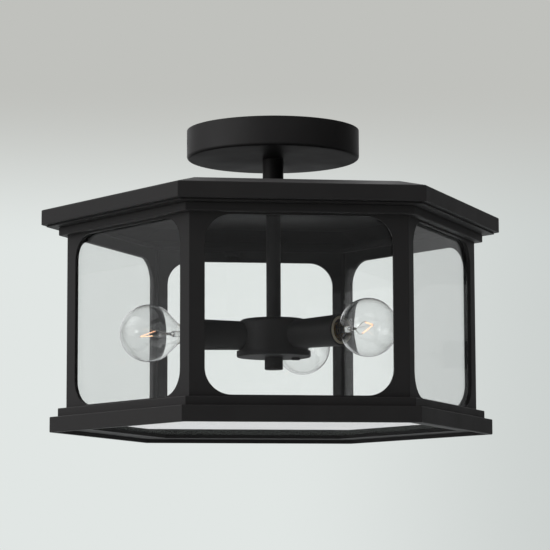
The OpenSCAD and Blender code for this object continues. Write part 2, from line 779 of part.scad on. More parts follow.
mounting_strap();
ground_screw();
canopy();
canopy_screws();
threaded_pipe();
pipe_nuts();
pipe_washers();
neck_tube();
stem_tube();
lid();
crown_ring();
side_frame(1);  // side_frame_1
side_frame(2);  // side_frame_2
side_frame(3);  // side_frame_3
side_frame(4);  // side_frame_4
side_frame(5);  // side_frame_5
side_frame(6);  // side_frame_6
side_pane(1);  // side_pane_1
side_pane(2);  // side_pane_2
side_pane(3);  // side_pane_3
side_pane(4);  // side_pane_4
side_pane(5);  // side_pane_5
side_pane(6);  // side_pane_6
base_band();
base_slab();
glass_ledge();
ledge_screws();
bottom_glass();
hub_body();
hub_plate();
hub_bar();
hub_screw();
finial();
lamp_arm(1);  // lamp_arm_1
lamp_arm(2);  // lamp_arm_2
lamp_arm(3);  // lamp_arm_3
socket_sleeve(1);  // socket_sleeve_1
socket_sleeve(2);  // socket_sleeve_2
socket_sleeve(3);  // socket_sleeve_3
socket_body(1);  // socket_body_1
socket_body(2);  // socket_body_2
socket_body(3);  // socket_body_3
socket_shell(1);  // socket_shell_1
socket_shell(2);  // socket_shell_2
socket_shell(3);  // socket_shell_3
socket_contact(1);  // socket_contact_1
socket_contact(2);  // socket_contact_2
socket_contact(3);  // socket_contact_3
globe(1);  // globe_1
globe(2);  // globe_2
globe(3);  // globe_3
lamp_base(1);  // lamp_base_1
lamp_base(2);  // lamp_base_2
lamp_base(3);  // lamp_base_3
filament(1);  // filament_1
filament(2);  // filament_2
filament(3);  // filament_3
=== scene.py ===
# %% [markdown]
# # A porch ceiling lantern
#
# The real one is a six-sided cage of black coated sheet metal under a wide
# lid. Clear glass fills its sides and its floor, and three globe lamps stand
# out from a hub on a central pipe. The CAD model brings every metal and glass
# part at its real size. This script gives those parts their finishes, builds
# the three lamps in full detail, and sets up the light and the camera.
#
# The model is loaded first, as a fixed frame in metres.

# %% Load the CAD model
import json
from math import cos, pi, radians, sin, tan

import bmesh
import bpy
from mathutils import Matrix, Vector


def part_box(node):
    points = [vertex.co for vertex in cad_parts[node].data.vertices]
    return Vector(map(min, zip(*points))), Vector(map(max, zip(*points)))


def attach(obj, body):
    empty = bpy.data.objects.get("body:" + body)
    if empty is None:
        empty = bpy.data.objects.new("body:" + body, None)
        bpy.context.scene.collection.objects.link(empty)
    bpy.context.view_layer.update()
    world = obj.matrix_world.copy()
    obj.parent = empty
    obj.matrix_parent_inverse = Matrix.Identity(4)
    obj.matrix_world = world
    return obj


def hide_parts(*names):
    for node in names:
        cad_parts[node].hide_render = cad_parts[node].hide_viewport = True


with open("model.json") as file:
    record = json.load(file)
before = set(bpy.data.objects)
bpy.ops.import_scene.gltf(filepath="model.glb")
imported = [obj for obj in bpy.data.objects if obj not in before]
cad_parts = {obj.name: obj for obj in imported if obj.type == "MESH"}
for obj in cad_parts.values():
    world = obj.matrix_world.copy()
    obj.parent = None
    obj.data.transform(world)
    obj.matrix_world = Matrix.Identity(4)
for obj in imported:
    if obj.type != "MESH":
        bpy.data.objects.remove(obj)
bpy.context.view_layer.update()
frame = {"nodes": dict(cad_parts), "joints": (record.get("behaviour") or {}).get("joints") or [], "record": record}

MM = 0.001

# %% [markdown]
# ## Colours and nodes
#
# Colours are easiest to read off a screen as sRGB hex values, but a shader
# works with linear light. One function converts them. Nodes could be added by
# hand, each with three or four lines. One helper does it instead: it adds a
# node, sets its own settings, and fills its inputs, and where the value for an
# input is another node's output, it links the two.

# %% Colour and node helpers
def linear(hex_colour):
    channels = [int(hex_colour[i:i + 2], 16) / 255 for i in (1, 3, 5)]
    light = [c / 12.92 if c <= 0.04045 else ((c + 0.055) / 1.055) ** 2.4 for c in channels]
    return (*light, 1.0)


def add(tree, kind, inputs=None, **settings):
    node = tree.nodes.new("ShaderNode" + kind)
    for name, value in settings.items():
        setattr(node, name, value)
    for name, value in (inputs or {}).items():
        if isinstance(value, bpy.types.NodeSocket):
            tree.links.new(value, node.inputs[name])
        else:
            node.inputs[name].default_value = value
    return node


def new_material(name):
    material = bpy.data.materials.new(name)
    material.use_nodes = True
    material.node_tree.nodes.clear()
    return material, material.node_tree


def finish_material(tree, surface, volume=None):
    output = add(tree, "OutputMaterial", {"Surface": surface})
    if volume:
        tree.links.new(volume, output.inputs["Volume"])


def per_metre(size_mm):
    """Scale of a noise pattern whose features are size_mm wide."""
    return 1 / (size_mm * MM)


NOISE_LOW, NOISE_HIGH = 0.3, 0.7    # a noise seldom leaves this range
print("mid grey #808080 is", round(linear("#808080")[0], 3), "in linear light")

# %% [markdown]
# ## Matt black powder coat
#
# Every sheet metal part is sprayed with dry polyester powder and baked. The
# powder melts into a thick skin that levels out, but never quite: it keeps a
# faint orange peel, and it rounds the edges of the sheet. To the eye that
# gives a soft black with broad, dull highlights and no mirror image.
#
# The peel could be a displacement, but it is only some hundredths of a
# millimetre deep, so a bump is enough. The rounded edges come from a bevel
# node, which feeds the bump a normal that turns round the corner.

# %% Powder coat
PEEL_MM = 1.1            # distance between two crests of the orange peel
PEEL_DEPTH_MM = 0.012
COAT_EDGE_MM = 0.5       # radius of the coat on a sheared edge
CLOUD_MM = 38            # patches where the spray lay a little thicker


def powder_coat():
    material, tree = new_material("matt_black_powder_coat")
    place = add(tree, "TexCoord").outputs["Object"]
    peel = add(tree, "TexNoise", {"Vector": place, "Scale": per_metre(PEEL_MM), "Detail": 2.0})
    cloud = add(tree, "TexNoise", {"Vector": place, "Scale": per_metre(CLOUD_MM), "Detail": 3.0})
    colour = add(tree, "Mix", {"Factor": cloud.outputs["Fac"], "A": linear("#232122"),
                               "B": linear("#2c2a29")}, data_type="RGBA")
    roughness = add(tree, "MapRange", {"Value": cloud.outputs["Fac"], "From Min": NOISE_LOW,
                                       "From Max": NOISE_HIGH, "To Min": 0.50, "To Max": 0.60})
    edge = add(tree, "Bevel", {"Radius": COAT_EDGE_MM * MM}, samples=4)
    bump = add(tree, "Bump", {"Height": peel.outputs["Fac"], "Distance": PEEL_DEPTH_MM * MM,
                              "Strength": 1.0, "Normal": edge.outputs["Normal"]})
    paint = add(tree, "BsdfPrincipled", {
        "Base Color": colour.outputs["Result"], "Roughness": roughness.outputs["Result"],
        "Normal": bump.outputs["Normal"], "IOR": 1.48, "Specular IOR Level": 0.35})
    finish_material(tree, paint.outputs["BSDF"])
    return material


black_coat = powder_coat()
print(black_coat.name, "peel", PEEL_MM, "mm")

# %% [markdown]
# ## Clear glass
#
# The side panes and the floor are 3 mm float glass, cast on molten tin. Their
# faces are perfectly flat, so they mirror the room a little head on and a lot
# at a grazing angle. A little iron in the glass swallows red light. Nothing of
# that shows through 3 mm, but along the cut edge, where the light has come a
# long way through the glass, it turns grey-green. Volume absorption gives just
# that, with no painted edge. The lamps are blown from clearer glass, and its
# wall of 0.4 mm has no colour that the eye could see.
#
# Dust settles on the glass floor, because it lies flat. Fine dust is hardly
# there head on and pale at a grazing angle, as sheen is, so a little sheen on
# that one sheet stands for it.
#
# A glass shader could be mixed with plain transparency to let lamps shine
# straight through. This lantern is lit by a whole soft room instead, and that
# light finds its own way through glass, so the glass stays as it is.

# %% Glass
SMUDGE_MM = 60           # wiping marks on flat glass
BLOWN_CLOUD_MM = 18      # slow unevenness of blown glass
RIPPLE_MM = 0.002        # depth of either
SMUDGE_LOW, SMUDGE_HIGH = 0.45, 0.75    # only the peaks of the noise dull the glass
IRON_GREEN, IRON_PER_METRE = "#bfe0cf", 5.0
DUST_SHEEN = 0.10


def clear_glass(name, roughness, pattern_mm, absorbed, absorbed_per_metre, dust=0.0):
    material, tree = new_material(name)
    place = add(tree, "TexCoord").outputs["Object"]
    smudge = add(tree, "TexNoise", {"Vector": place, "Scale": per_metre(pattern_mm), "Detail": 4.0})
    film = add(tree, "MapRange", {"Value": smudge.outputs["Fac"], "From Min": SMUDGE_LOW,
                                  "From Max": SMUDGE_HIGH, "To Min": 0.0, "To Max": roughness})
    ripple = add(tree, "Bump", {"Height": smudge.outputs["Fac"], "Distance": RIPPLE_MM * MM,
                                "Strength": 1.0})
    glass = add(tree, "BsdfPrincipled", {
        "Base Color": linear("#ffffff"), "Roughness": film.outputs["Result"],
        "Normal": ripple.outputs["Normal"], "IOR": 1.52, "Transmission Weight": 1.0,
        "Sheen Weight": dust, "Sheen Roughness": 0.5, "Sheen Tint": linear("#e6ece6")})
    inside = add(tree, "VolumeAbsorption", {"Color": linear(absorbed),
                                            "Density": absorbed_per_metre})
    finish_material(tree, glass.outputs["BSDF"], inside.outputs["Volume"])
    return material


float_glass = clear_glass("clear_float_glass", 0.02, SMUDGE_MM, IRON_GREEN, IRON_PER_METRE)
dusty_glass = clear_glass("dusty_float_glass", 0.02, SMUDGE_MM, IRON_GREEN, IRON_PER_METRE,
                          dust=DUST_SHEEN)
blown_glass = clear_glass("clear_blown_glass", 0.01, BLOWN_CLOUD_MM, "#f0f2ee", 2.0)
print(float_glass.name, dusty_glass.name, "and", blown_glass.name)

# %% [markdown]
# ## Small metal and board parts
#
# The strap, pipe, nuts and washers are zinc plated steel: pale grey, a little
# cloudy, with the pipe's thread all along it. The ground screw is the same
# steel dipped in green chromate. The lamp sockets are brass in brown moulded
# phenolic, each in a sleeve of cream pressboard that keeps the heat and the
# wires off the metal. Each finish is one typical metal or plastic with its own
# pattern, so one function makes them all: a colour that wanders between two
# values, a roughness to match, and a bump of the right size.

# %% Plain finishes
def wandering_finish(name, dark, light, pattern_mm, depth_mm, rough, stretch=(1, 1, 1),
                     **constants):
    material, tree = new_material(name)
    place = add(tree, "TexCoord").outputs["Object"]
    grain = add(tree, "Mapping", {"Vector": place, "Scale": stretch}).outputs["Vector"]
    pattern = add(tree, "TexNoise", {"Vector": grain, "Scale": per_metre(pattern_mm),
                                     "Detail": 4.0})
    colour = add(tree, "Mix", {"Factor": pattern.outputs["Fac"], "A": linear(dark),
                               "B": linear(light)}, data_type="RGBA")
    roughness = add(tree, "MapRange", {"Value": pattern.outputs["Fac"], "From Min": NOISE_LOW,
                                       "From Max": NOISE_HIGH, "To Min": rough[0],
                                       "To Max": rough[1]})
    bump = add(tree, "Bump", {"Height": pattern.outputs["Fac"], "Distance": depth_mm * MM,
                              "Strength": 1.0})
    shader = add(tree, "BsdfPrincipled", {
        "Base Color": colour.outputs["Result"], "Roughness": roughness.outputs["Result"],
        "Normal": bump.outputs["Normal"], **constants})
    finish_material(tree, shader.outputs["BSDF"])
    return material


# Zinc plate: cloudy pale grey, a broad soft shine
zinc_plate = wandering_finish("zinc_plated_steel", "#a9aeb3", "#c6cacd",
                              3.0, 0.01, (0.28, 0.42), Metallic=1.0)
# Green chromate: the same steel seen through a clear green skin
green_chromate = wandering_finish("green_chromate_steel", "#1f6b35", "#35894a",
                                  2.0, 0.01, (0.30, 0.40), Metallic=1.0)
# Rolled brass: warm, with fine rolling marks
rolled_brass = wandering_finish("rolled_brass", "#b98f45", "#d3ad66",
                                0.8, 0.004, (0.24, 0.34), stretch=(1, 1, 6), Metallic=1.0)
# Moulded phenolic: mid brown and glossy, as hard plastic from a polished mould
phenolic = wandering_finish("brown_moulded_phenolic", "#4a3322", "#5c4230",
                            4.0, 0.01, (0.22, 0.32), IOR=1.58)
# Pressboard: pressed paper, dull, with short fibres in it
pressboard = wandering_finish("cream_pressboard", "#e2d6ba", "#f2e9d4",
                              1.2, 0.03, (0.75, 0.88), IOR=1.45)
# Vitrite: the black glass between a lamp's two contacts
vitrite = wandering_finish("black_vitrite", "#0d0c0d", "#171516",
                           2.0, 0.01, (0.08, 0.16), IOR=1.55)
# Solder: a dull grey drop, frosted as it set
solder = wandering_finish("tin_solder", "#8d8f90", "#aeb0b0",
                          1.0, 0.03, (0.35, 0.50), Metallic=1.0)
# Nickel wire: the two leads that carry the filament
nickel_wire = wandering_finish("drawn_nickel_wire", "#8f8a80", "#b3ada2",
                               0.4, 0.003, (0.25, 0.35), Metallic=1.0)
print("materials so far:", len(bpy.data.materials))

# %% [markdown]
# A steel pipe's thread could be cut into its mesh, but only a short stretch of
# it is ever seen, inside the canopy. A bump of triangular waves gives the eye
# the same row of crests. At a scale of one, a wave is a tenth of pi metres
# long, so the scale for a pitch has pi in it.

# %% Zinc plate with a thread
THREAD_PITCH_MM = 0.94   # pipe thread, 27 to the inch
THREAD_DEPTH_MM = 0.5
CRESTS_AT_SCALE_ONE = 10 / pi    # in a metre


def threaded_zinc():
    material, tree = new_material("zinc_plated_thread")
    place = add(tree, "TexCoord").outputs["Object"]
    crest = add(tree, "TexWave", {"Vector": place,
                                  "Scale": per_metre(THREAD_PITCH_MM) / CRESTS_AT_SCALE_ONE},
                wave_type="BANDS", bands_direction="Z", wave_profile="TRI")
    bump = add(tree, "Bump", {"Height": crest.outputs["Fac"], "Distance": THREAD_DEPTH_MM * MM,
                              "Strength": 1.0})
    steel = add(tree, "BsdfPrincipled", {
        "Base Color": linear("#b4b9bd"), "Metallic": 1.0, "Roughness": 0.34,
        "Normal": bump.outputs["Normal"]})
    finish_material(tree, steel.outputs["BSDF"])
    return material


thread_zinc = threaded_zinc()
print(thread_zinc.name, "pitch", THREAD_PITCH_MM, "mm")

# %% [markdown]
# ## Dress the CAD parts
#
# A part whose CAD shape is right keeps its mesh, and only its material slots
# change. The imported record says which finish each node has, so the finishes go
# on by slot name. Two parts differ from their slot: the pipe, because of its
# thread, and the glass floor, because of its dust.

# %% Give each CAD node its finish
FINISH_OF_SLOT = {
    "black_paint": black_coat, "pane_glass": float_glass, "lamp_glass": blown_glass,
    "zinc_steel": zinc_plate, "green_screw": green_chromate, "brass": rolled_brass,
    "cream_sleeve": pressboard, "brown_socket": phenolic, "filament_wire": nickel_wire,
}
slot_of_node = {part["node"]: part["material_slot"] for part in frame["record"]["subparts"]}

for name, node in frame["nodes"].items():
    for slot in node.material_slots:
        slot.material = FINISH_OF_SLOT[slot_of_node[name]]
frame["nodes"]["threaded_pipe"].material_slots[0].material = thread_zinc
frame["nodes"]["bottom_glass"].material_slots[0].material = dusty_glass
print("dressed", len(frame["nodes"]), "CAD nodes in", len(set(slot_of_node.values())), "finishes")

# %% [markdown]
# ## Where the lamps are
#
# Each lamp screws into its socket about its own axis, so the joint of that
# screw says where the lamp lies and which way it points. The distances along
# it come from the CAD nodes: how far their farthest and nearest points are
# from the lantern's axis. So the lamps follow if the CAD changes.

# %% Read the lamps' places from the joints
def along(node_name, direction):
    """Nearest and farthest point of a CAD node along a direction from the lantern's axis."""
    reach = [vertex.co.dot(direction) for vertex in frame["nodes"][node_name].data.vertices]
    return min(reach), max(reach)


def lamp_place(number):
    """Where lamp number is, and a matrix that takes X along its axis and Z up."""
    joint = next(j for j in frame["joints"] if j["name"] == f"lamp_{number}_screw")
    outward = Vector(joint["axis"]).normalized()
    up = Vector((0, 0, 1))
    origin = Vector((0, 0, joint["pos_m"][2]))
    place = Matrix.Identity(4)
    for column, vector in enumerate((outward, up.cross(outward), up, origin)):
        for row in range(3):
            place[row][column] = vector[row]
    low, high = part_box(f"globe_{number}")
    globe_r = (high[2] - low[2]) / 2
    neck_end, globe_tip = along(f"globe_{number}", outward)
    contact_end, base_tip = along(f"lamp_base_{number}", outward)
    return {"place": place, "globe_r": globe_r, "globe_x": globe_tip - globe_r,
            "neck_end": neck_end, "contact_end": contact_end, "base_tip": base_tip}


lamps = {number: lamp_place(number) for number in (1, 2, 3)}
print("lamp 1: globe radius", round(lamps[1]["globe_r"] / MM, 2), "mm, centre at",
      round(lamps[1]["globe_x"] / MM, 2), "mm from the axis")

# %% [markdown]
# ## A turned surface
#
# A lamp's glass, cap and contact are all bodies of revolution, or nearly: the
# glass stem is pinched flat at its end, and the cap has a thread. So one
# function makes a skin over rings, where a ring is a distance along the lamp's
# axis with a radius for each angle. A radius of nothing closes the skin in a
# point. A spin modifier could turn an outline, but it couldn't pinch or thread
# it.

# %% Skin over rings
def skin_over_rings(mesh, rings, steps):
    """rings: (x, radius) or (x, function of the angle that gives y and z), in metres."""
    rows = []
    for x, form in rings:
        if form == 0:
            rows.append([mesh.verts.new((x, 0, 0))])
            continue
        row = []
        for k in range(steps):
            angle = 2 * pi * k / steps
            y, z = form(angle) if callable(form) else (form * cos(angle), form * sin(angle))
            row.append(mesh.verts.new((x, y, z)))
        rows.append(row)
    for one, two in zip(rows, rows[1:]):
        for k in range(steps):
            n = (k + 1) % steps
            corners = [one[k % len(one)], one[n % len(one)], two[n % len(two)], two[k % len(two)]]
            mesh.faces.new(list(dict.fromkeys(corners)))


def arc(centre_x, radius, start, end, steps):
    """Points of a circle about a place on the axis, as (x, radius) rings."""
    angles = [start + (end - start) * k / steps for k in range(steps + 1)]
    return [(centre_x + radius * cos(a), radius * sin(a)) for a in angles]


def offsets(origin_x, points_mm):
    """(x, radius) rings in metres from points in mm, whose x counts from origin_x."""
    return [(origin_x + x * MM, r * MM) for x, r in points_mm]


def finish_piece(name, mesh, material, number, sharp=35):
    """Turns a finished mesh into a piece that rides on lamp number, with a finish for slot."""
    if mesh.calc_volume(signed=True) < 0:
        bmesh.ops.reverse_faces(mesh, faces=mesh.faces)
    data = bpy.data.meshes.new(name)
    mesh.to_mesh(data)
    mesh.free()
    data.transform(lamps[number]["place"])
    data.shade_smooth()
    data.set_sharp_from_angle(angle=radians(sharp))
    data.materials.append(material)
    piece = bpy.data.objects.new(name, data)
    bpy.context.scene.collection.objects.link(piece)
    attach(piece, f"lamp_{number}")
    return piece


print("a quarter circle of 4 steps has", len(arc(0, 1, 0, pi / 2, 4)), "rings")

# %% [markdown]
# ## The globe's outline
#
# A globe lamp's glass is one sealed envelope. A ball is blown from tube, and
# its neck is shrunk to fit the cap. The ball doesn't meet the neck in a
# corner: it runs out into a cone, which bends into the neck in a fillet, and
# gives the lamp its pear shape. The line could be drawn by eye as a curve, but
# worked out from the angle of the cone it stays tangent at any size.

# %% Neck of the globe
WALL_MM = 0.42
NECK_R_MM = 7.8          # glass neck, just outside the arm
SEAT_R_MM = 5.2          # glass inside the cap
SHOULDER_MM = 0.6        # from the cap's rim to the end of the shoulder over it
CONE_DEG = 46            # angle from the axis at which the ball runs out into a cone
CONE_FILLET_MM = 3.0
CONE_STEPS, NECK_STEPS = 4, 10


def blend(a, b, t):
    return a + (b - a) * t


def smooth(t):
    return t * t * (3 - 2 * t)


def neck_rings(lamp, wall):
    """Angle at which the ball ends, and rings from there down the neck to the cap."""
    ball_r = lamp["globe_r"] - wall
    neck_r = NECK_R_MM * MM - wall
    seat_r = SEAT_R_MM * MM - wall
    fillet = CONE_FILLET_MM * MM
    join = pi - radians(CONE_DEG)
    slope = 1 / tan(radians(CONE_DEG))    # of the cone, which touches the ball there
    leave_x, leave_r = lamp["globe_x"] + ball_r * cos(join), ball_r * sin(join)
    cone_end_r = neck_r + slope * fillet / 2
    cone_end_x = leave_x - (leave_r - cone_end_r) / slope
    neck_x = cone_end_x - fillet
    seat_x = lamp["base_tip"] + SHOULDER_MM * MM
    rings = []
    for k in range(1, CONE_STEPS + 1):
        t = k / CONE_STEPS
        rings.append((blend(leave_x, cone_end_x, t), blend(leave_r, cone_end_r, t)))
    for k in range(1, NECK_STEPS + 1):    # fillet between cone and neck
        t = k / NECK_STEPS
        rings.append((blend(cone_end_x, neck_x, t), blend(neck_r, cone_end_r, (1 - t) ** 2)))
    for k in range(1, NECK_STEPS + 1):    # shoulder down to the seat
        t = k / NECK_STEPS
        rings.append((blend(neck_x, seat_x, t), blend(neck_r, seat_r, smooth(t))))
    return join, rings


print("neck of", len(neck_rings(lamps[1], 0)[1]), "rings")

# %% [markdown]
# ## Two skins of glass
#
# A glass stem is melted into the neck from behind. It is a hollow tube,
# pinched flat at its tip while soft, where it grips the two lead wires. The
# eye sees a bright rim where two skins of glass lie one behind the other, and
# the clear stem inside.
#
# One thin shell could stand for the globe, but light would bend at it once and
# never bend back. So the glass is built as the two closed skins that it really
# has: the outside, which also runs up the bore of the stem, and the cavity.
# Their faces point away from the glass, so light bends the right way at each.

# %% Globe with its stem
STEM_R_MM = 2.7
STEM_SHORT_MM = 16       # tip of the stem, short of the globe's middle
PINCH_MM = (3.4, 1.1)    # half widths of the flat tip of the stem
PINCH_LENGTH_MM = 3.0
PINCH_BLEND_MM = 3.2     # over which the flat tip turns round again
PINCH_STEPS = 6
BALL_STEPS = 56
GLASS_STEPS = 72


def pinched(half_wide, half_thick):
    return lambda angle: (half_wide * cos(angle), half_thick * sin(angle))


def outer_skin(lamp, stem_tip, end_x):
    """Ball, neck, rounded end in the cap, and the bore of the stem."""
    join, neck = neck_rings(lamp, 0)
    bore = STEM_R_MM - WALL_MM
    rings = arc(lamp["globe_x"], lamp["globe_r"], 0, join, BALL_STEPS) + neck
    rings[0] = (rings[0][0], 0)
    rings += offsets(end_x, [(0.6, SEAT_R_MM), (0, SEAT_R_MM - 0.4), (0, bore + 1.2), (1.5, bore)])
    rings += offsets(stem_tip, [(-7, bore), (-6, bore * 0.6), (-5.6, 0)])
    return rings


def cavity_skin(lamp, stem_tip, end_x):
    """The pinched tip of the stem, the stem, and the inside of the neck and the ball."""
    join, neck = neck_rings(lamp, WALL_MM * MM)
    wide, thick, stem_r = PINCH_MM[0] * MM, PINCH_MM[1] * MM, STEM_R_MM * MM
    rings = [(stem_tip, 0), (stem_tip - 0.1 * MM, pinched(wide * 0.8, thick * 0.6)),
             (stem_tip - 0.6 * MM, pinched(wide, thick)),
             (stem_tip - PINCH_LENGTH_MM * MM, pinched(wide, thick))]
    for k in range(1, PINCH_STEPS + 1):
        t = smooth(k / PINCH_STEPS)
        rings.append((stem_tip - (PINCH_LENGTH_MM + PINCH_BLEND_MM * k / PINCH_STEPS) * MM,
                      pinched(blend(wide, stem_r, t), blend(thick, stem_r, t))))
    seat = SEAT_R_MM - WALL_MM
    rings += offsets(end_x, [(4, STEM_R_MM), (2.2, STEM_R_MM + 0.5),
                             (1.0, seat - 0.6), (1.3, seat)])
    rings += list(reversed(neck))
    rings += arc(lamp["globe_x"], lamp["globe_r"] - WALL_MM * MM, join, 0, BALL_STEPS)
    rings[-1] = (rings[-1][0], 0)
    return rings


def globe_piece(number):
    lamp = lamps[number]
    stem_tip = lamp["globe_x"] - STEM_SHORT_MM * MM
    end_x = lamp["neck_end"] + 0.05 * MM    # a hair inside the CAD lamp's box
    mesh = bmesh.new()
    skin_over_rings(mesh, outer_skin(lamp, stem_tip, end_x), GLASS_STEPS)
    skin_over_rings(mesh, cavity_skin(lamp, stem_tip, end_x), GLASS_STEPS)
    piece = finish_piece(f"globe_glass_{number}", mesh, blown_glass, number, sharp=60)
    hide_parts(f"globe_{number}")
    return piece


globes = [globe_piece(number) for number in lamps]
print("globes:", len(globes), "with", len(globes[0].data.polygons), "faces each")

# %% [markdown]
# ## Cap, insulator and contact
#
# The lamp's screw cap is a thimble of thin brass with the thread rolled into
# it, a rounded thread of ten turns to the inch. At its end, black glass keeps
# the cap apart from the solder drop in the middle, which is the other contact.
# The thread could be a stack of grooves, and would look nearly the same, but
# it is a true helix here: the radius of each point follows the angle and the
# distance together.

# %% Screw cap with a rolled thread
CAP_PITCH_MM = 2.54
CAP_THREAD_MM = 0.42     # depth of the rolled thread
CAP_R_MM = 5.95
CAP_WALL_MM = 0.3
CAP_PLAIN_MM = 2.6       # plain skirt next to the glass
CAP_END_MM = 4           # from the contact's end to the end of the cap
INSULATOR_R_MM = 5.0
CONTACT_R_MM = 2.2
CAP_ROWS, CAP_STEPS = 64, 48


def cap_skin(lamp, cap_end):
    """Down the outside of the cap with its thread, round its end, and up the inside."""
    pitch = CAP_PITCH_MM * MM
    skirt_x = lamp["base_tip"] - CAP_PLAIN_MM * MM

    def threaded(x, inset=0.0):
        strength = max(0.0, min(1.0, min(x - cap_end, skirt_x - x) / pitch))

        def ring(angle):
            groove = 0.5 - 0.5 * cos(2 * pi * x / pitch - angle)
            r = CAP_R_MM * MM - CAP_THREAD_MM * MM * (0.15 + 0.85 * groove * strength) - inset
            return r * cos(angle), r * sin(angle)
        return ring

    xs = [blend(lamp["base_tip"] - 0.02 * MM, cap_end, k / CAP_ROWS) for k in range(CAP_ROWS + 1)]
    rings = [(x, threaded(x)) for x in xs]
    rings += offsets(cap_end, [(-0.25, CAP_R_MM - 0.9), (-0.1, INSULATOR_R_MM - 0.3),
                               (0.4, INSULATOR_R_MM - 0.3)])
    rings += [(x, threaded(x, CAP_WALL_MM * MM)) for x in reversed(xs[:-4])]
    return rings + rings[:1]


def cap_pieces(number):
    lamp = lamps[number]
    contact_end = lamp["contact_end"]
    cap_end = contact_end + CAP_END_MM * MM

    mesh = bmesh.new()
    skin_over_rings(mesh, cap_skin(lamp, cap_end), CAP_STEPS)
    bmesh.ops.remove_doubles(mesh, verts=mesh.verts, dist=1e-6)
    cap = finish_piece(f"screw_cap_{number}", mesh, rolled_brass, number, sharp=60)
    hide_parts(f"lamp_base_{number}")

    mesh = bmesh.new()
    inside_cap = INSULATOR_R_MM - 0.4
    funnel = offsets(cap_end, [(1.4, 0), (1.4, inside_cap), (-0.1, inside_cap), (-1.2, 4.0)])
    funnel += offsets(contact_end, [(1.4, CONTACT_R_MM + 0.7), (1.0, CONTACT_R_MM + 0.3), (1.0, 0)])
    skin_over_rings(mesh, funnel, CAP_STEPS)
    insulator = finish_piece(f"cap_insulator_{number}", mesh, vitrite, number)

    mesh = bmesh.new()
    drop = offsets(contact_end, [(1.6, 0), (1.6, CONTACT_R_MM), (1.0, CONTACT_R_MM)])
    drop += offsets(contact_end, [(1 - sin(a), CONTACT_R_MM * cos(a))
                                  for a in (0.3, 0.6, 0.9, 1.2, 1.4)])
    drop.append((contact_end, 0))
    skin_over_rings(mesh, drop, CAP_STEPS)
    contact = finish_piece(f"cap_contact_{number}", mesh, solder, number)
    return [cap, insulator, contact]


caps = [piece for number in lamps for piece in cap_pieces(number)]
print("cap pieces:", len(caps), "thread pitch", CAP_PITCH_MM, "mm")

# %% [markdown]
# ## Glowing tungsten
#
# A filament is white hot at full power. In the photograph it glows faintly, a
# small peach coloured V in each globe, as it does on a dimmer. An emission
# could be one flat colour, but a coil is hotter in its middle than at its
# hooks, so the glow wanders between two colours.

# %% Tungsten that glows
def glowing_tungsten():
    material, tree = new_material("glowing_tungsten")
    place = add(tree, "TexCoord").outputs["Object"]
    heat = add(tree, "TexNoise", {"Vector": place, "Scale": per_metre(3), "Detail": 2.0})
    colour = add(tree, "Mix", {"Factor": heat.outputs["Fac"], "A": linear("#ffb080"),
                               "B": linear("#ffd6ae")}, data_type="RGBA")
    wire = add(tree, "BsdfPrincipled", {
        "Base Color": linear("#8a8278"), "Metallic": 1.0, "Roughness": 0.4,
        "Emission Color": colour.outputs["Result"], "Emission Strength": 2.0})
    finish_material(tree, wire.outputs["BSDF"])
    return material


tungsten = glowing_tungsten()
print(tungsten.name)

# %% [markdown]
# ## Wires
#
# Leads and coil are round wires along a path. A bevelled curve would do it, but
# a mesh tube keeps its own end caps and exports as it is. A bent wire has no
# sharp corners either, so a path can be rounded at each of its corners.

# %% Tubes along a path
def tube_along(mesh, path, radius, sides=8):
    """A closed round tube along points. Each ring stands square to the path."""
    side = Vector((0, 0, 1))
    rows = []
    for k, point in enumerate(path):
        ahead = (path[min(k + 1, len(path) - 1)] - path[max(k - 1, 0)]).normalized()
        across = ahead.cross(side)
        across = across.normalized() if across.length > 1e-6 else Vector((0, 1, 0))
        side = across.cross(ahead).normalized()
        rows.append([mesh.verts.new(point + (across * cos(a) + side * sin(a)) * radius)
                     for a in (2 * pi * s / sides for s in range(sides))])
    for one, two in zip(rows, rows[1:]):
        for s in range(sides):
            n = (s + 1) % sides
            mesh.faces.new((one[s], two[s], two[n], one[n]))
    mesh.faces.new(rows[0])
    mesh.faces.new(list(reversed(rows[-1])))


def rounded_path(corners, steps=5):
    """Points along straight runs whose inner corners are rounded."""
    points = [corners[0]]
    for before, corner, after in zip(corners, corners[1:], corners[2:]):
        start, end = corner.lerp(before, 0.3), corner.lerp(after, 0.3)
        for k in range(steps + 1):
            t = k / steps
            points.append(start.lerp(corner, t).lerp(corner.lerp(end, t), t))
    points.append(corners[-1])
    return points


bend = rounded_path([Vector((0, 0, 0)), Vector((1, 0, 0)), Vector((1, 1, 0))])
print("a corner rounds to", len(bend), "points")

# %% [markdown]
# ## Leads and filament
#
# Two nickel leads come out of the pinched stem, spread, and hook round the
# ends of the filament. The filament is a coil of tungsten wire finer than a
# hair. A third wire, from a glass button on the stem, holds its middle far
# forward, so it hangs in a V. Each lamp's V is turned its own way, because
# nobody minds where a lamp's thread ends.
#
# The coil could be a plain glowing rod, which would look the same from afar. It
# is drawn as a coil for the close look, with wire of 0.24 mm, about ten times
# as thick as a real one, because a real one is far finer than a pixel.

# %% Leads, support and coil
LEAD_R_MM = 0.22
SUPPORT_R_MM = 0.132
LEAD_GAP_MM = 2.6        # between the leads at the pinched stem
V_WIDTH_MM = 12.0        # between the ends of the filament
V_BACK_MM = 6.0          # ends of the filament, short of the globe's middle
V_FRONT_MM = 7.0         # point of the V, beyond the globe's middle
V_TURN = {1: 20, 2: 19, 3: 66}            # degrees that each lamp's V is turned about its axis
V_DROOP_MM = {1: 0.5, 2: -3.2, 3: 3.0}    # how far the point of the V is bent out of line
COIL_R_MM = 0.36
COIL_WIRE_R_MM = 0.12
COIL_TURN_MM = 0.60
POINTS_PER_TURN = 10
BUTTON_R_MM = 1.1


